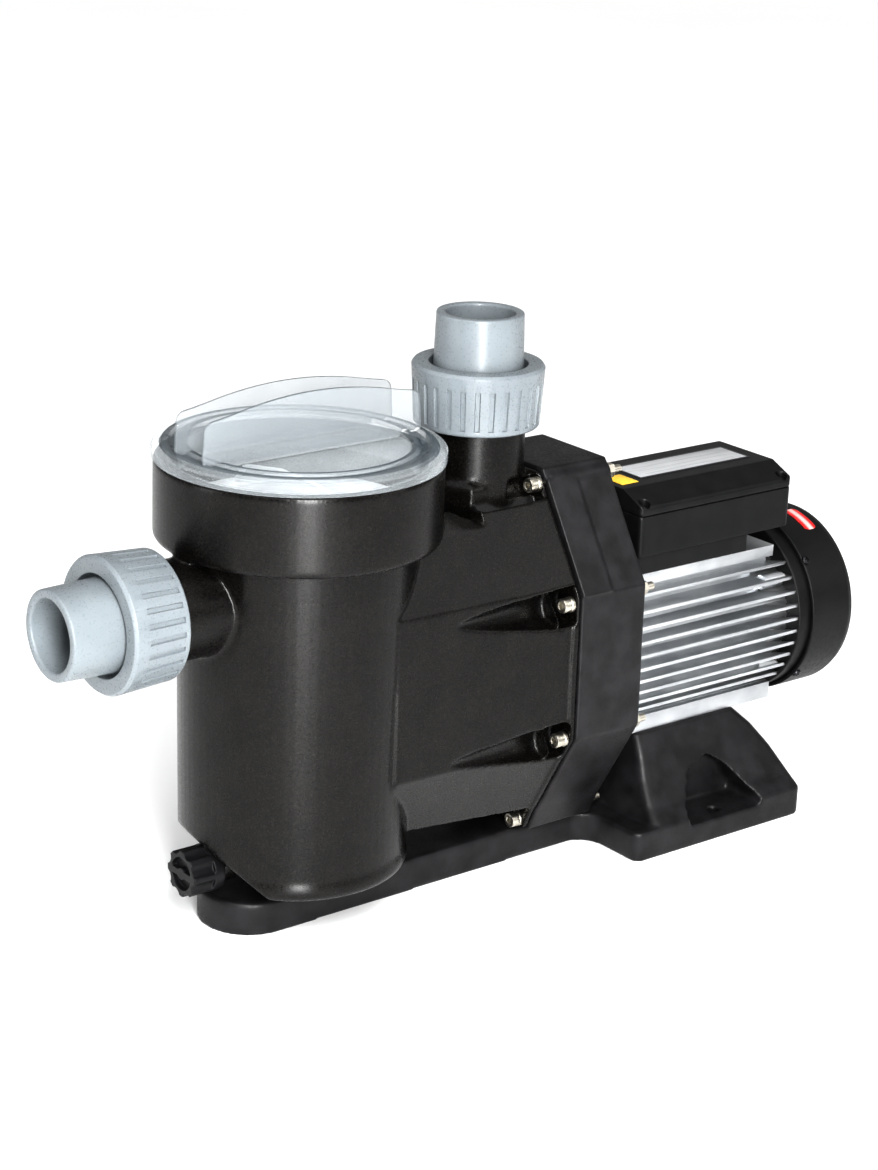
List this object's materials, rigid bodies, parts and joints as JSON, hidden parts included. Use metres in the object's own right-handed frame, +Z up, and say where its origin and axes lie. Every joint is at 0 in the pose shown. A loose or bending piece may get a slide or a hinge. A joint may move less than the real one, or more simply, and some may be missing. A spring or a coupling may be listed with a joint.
{
  "type": "pool pump",
  "caption": "Self-priming pool pump: strainer pot with clear twist-off lid, basket, pipe unions, volute, motor bracket, finned motor with fan, terminal box and base.",
  "frame": {"origin": "on the floor, under the centre of the overall box", "axes": "+Z up, +X along the motor shaft from the strainer pot to the fan cover, Y across"},
  "size_m": [0.696, 0.2048, 0.422],
  "materials": {
    "pot_plastic": "semi-gloss",
    "bracket_plastic": "matte",
    "pvc": "semi-gloss",
    "clear_plastic": "clear gloss",
    "basket_plastic": "satin",
    "impeller_plastic": "matte",
    "rubber": "matte",
    "stainless": "satin",
    "ceramic": "gloss",
    "lamination": "satin",
    "copper": "satin",
    "bearing_steel": "polished",
    "aluminium": "satin",
    "black_paint": "satin",
    "box_plastic": "satin",
    "terminal_plastic": "matte",
    "plate": "satin",
    "yellow_label": "satin",
    "red_label": "gloss"
  },
  "bodies": {
    "root": {"base": "bracket_plastic", "strainer_pot": "pot_plastic", "pump_housing": "pot_plastic", "motor_bracket": "bracket_plastic", "housing_oring": "rubber", "diffuser": "impeller_plastic", "seal_seat": "ceramic", "stator_core": "lamination", "stator_windings": "copper", "front_bearing_outer": "bearing_steel", "rear_bearing_outer": "bearing_steel", "wave_washer": "stainless", "motor_housing": "aluminium", "front_end_shield": "aluminium", "rear_end_shield": "black_paint", "fan_cover": "black_paint", "cover_sticker": "red_label", "terminal_riser": "box_plastic", "terminal_box_base": "box_plastic", "terminal_box_lid": "box_plastic", "nameplate": "plate", "warning_label": "yellow_label", "capacitor": "aluminium", "terminal_block": "terminal_plastic", "cable_gland": "box_plastic", "gland_nut": "box_plastic", "suction_oring": "rubber", "discharge_oring": "rubber", "flange_bolts": "stainless", "flange_washers": "stainless", "flange_nuts": "stainless", "motor_screws": "stainless", "shield_screws": "stainless", "cover_screws": "stainless", "box_screws": "stainless", "saddle_screws": "stainless", "bracket_screws": "stainless", "pot_screw": "stainless"},
    "rotor": {"motor_shaft": "stainless", "rotor_core": "lamination", "impeller": "impeller_plastic", "impeller_cap": "impeller_plastic", "seal_head": "stainless", "shaft_slinger": "rubber", "fan": "impeller_plastic", "front_bearing_inner": "bearing_steel", "rear_bearing_inner": "bearing_steel"},
    "lid_seal": {"lid_oring": "rubber"},
    "lid": {"strainer_lid": "clear_plastic"},
    "basket": {"strainer_basket": "basket_plastic", "basket_handle": "basket_plastic"},
    "suction_union": {"suction_tail": "pvc"},
    "suction_ring": {"suction_nut": "pvc"},
    "discharge_union": {"discharge_tail": "pvc"},
    "discharge_ring": {"discharge_nut": "pvc"},
    "drain_seal": {"drain_washer": "rubber"},
    "drain": {"drain_plug": "bracket_plastic"}
  },
  "joints": [
    {"name": "shaft_spin", "type": "hinge", "parent": "root", "child": "rotor", "pos_m": [0.2, 0, 0.151], "axis": [1, 0, 0], "continuous": true},
    {"name": "lid_lift", "type": "slide", "parent": "root", "child": "lid_seal", "axis": [0, 0, 1], "range_m": [0, 0.36]},
    {"name": "lid_twist", "type": "hinge", "parent": "lid_seal", "child": "lid", "pos_m": [-0.149, 0, 0.342], "axis": [0, 0, 1], "range_deg": [0, 90]},
    {"name": "basket_lift", "type": "slide", "parent": "root", "child": "basket", "axis": [0, 0, 1], "range_m": [0, 0.27]},
    {"name": "suction_pull", "type": "slide", "parent": "root", "child": "suction_union", "axis": [-1, 0, 0], "range_m": [0, 0.06]},
    {"name": "suction_nut_turn", "type": "hinge", "parent": "suction_union", "child": "suction_ring", "pos_m": [-0.29, 0, 0.244], "axis": [-1, 0, 0], "continuous": true},
    {"name": "discharge_pull", "type": "slide", "parent": "root", "child": "discharge_union", "axis": [0, 0, 1], "range_m": [0, 0.06]},
    {"name": "discharge_nut_turn", "type": "hinge", "parent": "discharge_union", "child": "discharge_ring", "pos_m": [0.007, 0, 0.363], "axis": [0, 0, 1], "continuous": true},
    {"name": "drain_pull", "type": "slide", "parent": "root", "child": "drain_seal", "axis": [-1, 0, 0], "range_m": [0, 0.04]},
    {"name": "drain_turn", "type": "hinge", "parent": "drain_seal", "child": "drain", "pos_m": [-0.23, 0, 0.046], "axis": [-1, 0, 0], "continuous": true}
  ],
  "couplings": [
    {"joint": "basket_lift", "follows": "lid_lift", "ratio": 0.75}
  ]
}
